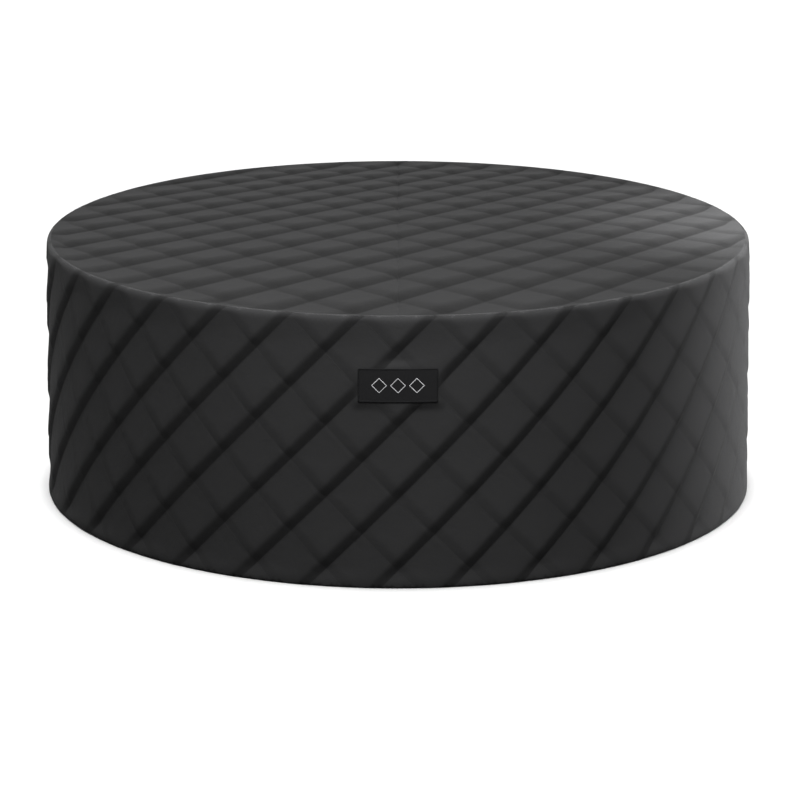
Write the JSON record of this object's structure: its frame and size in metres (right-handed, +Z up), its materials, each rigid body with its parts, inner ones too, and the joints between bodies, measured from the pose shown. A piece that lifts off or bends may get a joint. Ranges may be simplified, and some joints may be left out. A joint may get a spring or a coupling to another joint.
{
  "type": "inflatable hot tub",
  "caption": "Round inflatable hot tub closed under a black quilted thermal jacket, with a folding top half, built-in control unit, filter and bubble ring.",
  "frame": {"origin": "centre of the footprint on the ground", "axes": "+Z up, the label faces -Y, the right half of the top opens on the +X side"},
  "size_m": [1.8998, 1.8998, 0.69],
  "materials": {
    "quilt": "matte coated weave",
    "lining": "smooth lining",
    "tape": "woven tape",
    "label": "woven label",
    "emblem": "stitched thread",
    "foam": "closed-cell foam",
    "zip_plastic": "moulded teeth",
    "zip_metal": "dark nickel",
    "mat": "foam mat",
    "wall_sheet": "laminated sheet",
    "basin_sheet": "laminated sheet",
    "web": "reinforced sheet",
    "fitting": "moulded",
    "cap": "moulded",
    "hose": "moulded",
    "paper": "pleated filter paper",
    "housing": "moulded",
    "steel": "brushed",
    "motor": "painted",
    "board": "solder mask",
    "chip": "moulded",
    "lens": "clear window over a dark display",
    "key": "soft key"
  },
  "bodies": {
    "tub": {"ground_mat": "mat", "bottom_sheet": "wall_sheet", "basin_floor": "basin_sheet", "outer_wall": "wall_sheet", "inner_wall": "basin_sheet", "top_deck": "wall_sheet", "wall_webs": "web", "bubble_ring": "basin_sheet", "air_nozzles": "fitting", "air_hose": "hose", "suction_pipe": "hose", "return_pipe": "hose", "return_nozzle": "fitting", "filter_base": "fitting", "filter_cartridge": "paper", "drain_fitting": "fitting", "valve_body": "fitting", "unit_housing": "housing", "service_panel": "housing", "panel_screws": "steel", "pump_motor": "motor", "pump_volute": "fitting", "heater_tube": "steel", "heater_rod": "steel", "blower_case": "housing", "control_board": "board", "board_parts": "chip", "power_inlet": "chip", "panel_housing": "housing", "display_lens": "lens"},
    "jacket": {"skirt_quilt": "quilt", "skirt_lining": "lining", "hem_tape": "tape", "label_patch": "label", "label_border": "tape", "label_emblem": "emblem", "top_quilt_left": "quilt", "foam_core_left": "foam", "top_lining_left": "lining", "fold_strip": "tape", "zip_tape": "tape", "zip_chain": "zip_plastic"},
    "lid_right": {"top_quilt_right": "quilt", "foam_core_right": "foam", "top_lining_right": "lining"},
    "zip": {"zip_slider": "zip_metal", "zip_pull": "zip_metal"},
    "filter_cover": {"filter_cap": "cap"},
    "drain": {"drain_cap": "cap"},
    "air_valve": {"valve_cap": "housing"},
    "pump_rotor": {"impeller": "cap"},
    "blower_rotor": {"blower_fan": "cap"},
    "key_power": {"button_power": "key"},
    "key_heat": {"button_heat": "key"},
    "key_filter": {"button_filter": "key"},
    "key_bubble": {"button_bubble": "key"}
  },
  "joints": [
    {"name": "jacket_lift", "type": "slide", "parent": "tub", "child": "jacket", "axis": [0, 0, 1], "range_m": [0, 0.75]},
    {"name": "top_fold", "type": "hinge", "parent": "jacket", "child": "lid_right", "pos_m": [0, 0, 0.7], "axis": [0, -1, 0], "range_deg": [0, 176]},
    {"name": "zip_travel", "type": "hinge", "parent": "jacket", "child": "zip", "pos_m": [0, 0, 0.684], "axis": [0, 0, 1], "range_deg": [-173, 0]},
    {"name": "filter_turn", "type": "hinge", "parent": "tub", "child": "filter_cover", "pos_m": [-0.05, 0.6, 0.15], "axis": [0, -1, 0], "range_deg": [0, 60]},
    {"name": "drain_turn", "type": "hinge", "parent": "tub", "child": "drain", "pos_m": [0, -0.48, 0.02], "axis": [0, 0, 1], "range_deg": [0, 90]},
    {"name": "valve_turn", "type": "hinge", "parent": "tub", "child": "air_valve", "pos_m": [-0.76115, -0.27704, 0.64], "axis": [0, 0, 1], "range_deg": [0, 90]},
    {"name": "pump_spin", "type": "hinge", "parent": "tub", "child": "pump_rotor", "pos_m": [-0.05, 0.838, 0.15], "axis": [1, 0, 0], "continuous": true},
    {"name": "blower_spin", "type": "hinge", "parent": "tub", "child": "blower_rotor", "pos_m": [-0.085, 0.838, 0.44], "axis": [0, 1, 0], "continuous": true},
    {"name": "power_press", "type": "slide", "parent": "tub", "child": "key_power", "axis": [0, 0, -1], "range_m": [0, 0.0015], "stiffness_N_per_m": 300},
    {"name": "heat_press", "type": "slide", "parent": "tub", "child": "key_heat", "axis": [0, 0, -1], "range_m": [0, 0.0015], "stiffness_N_per_m": 300},
    {"name": "filter_press", "type": "slide", "parent": "tub", "child": "key_filter", "axis": [0, 0, -1], "range_m": [0, 0.0015], "stiffness_N_per_m": 300},
    {"name": "bubble_press", "type": "slide", "parent": "tub", "child": "key_bubble", "axis": [0, 0, -1], "range_m": [0, 0.0015], "stiffness_N_per_m": 300}
  ]
}
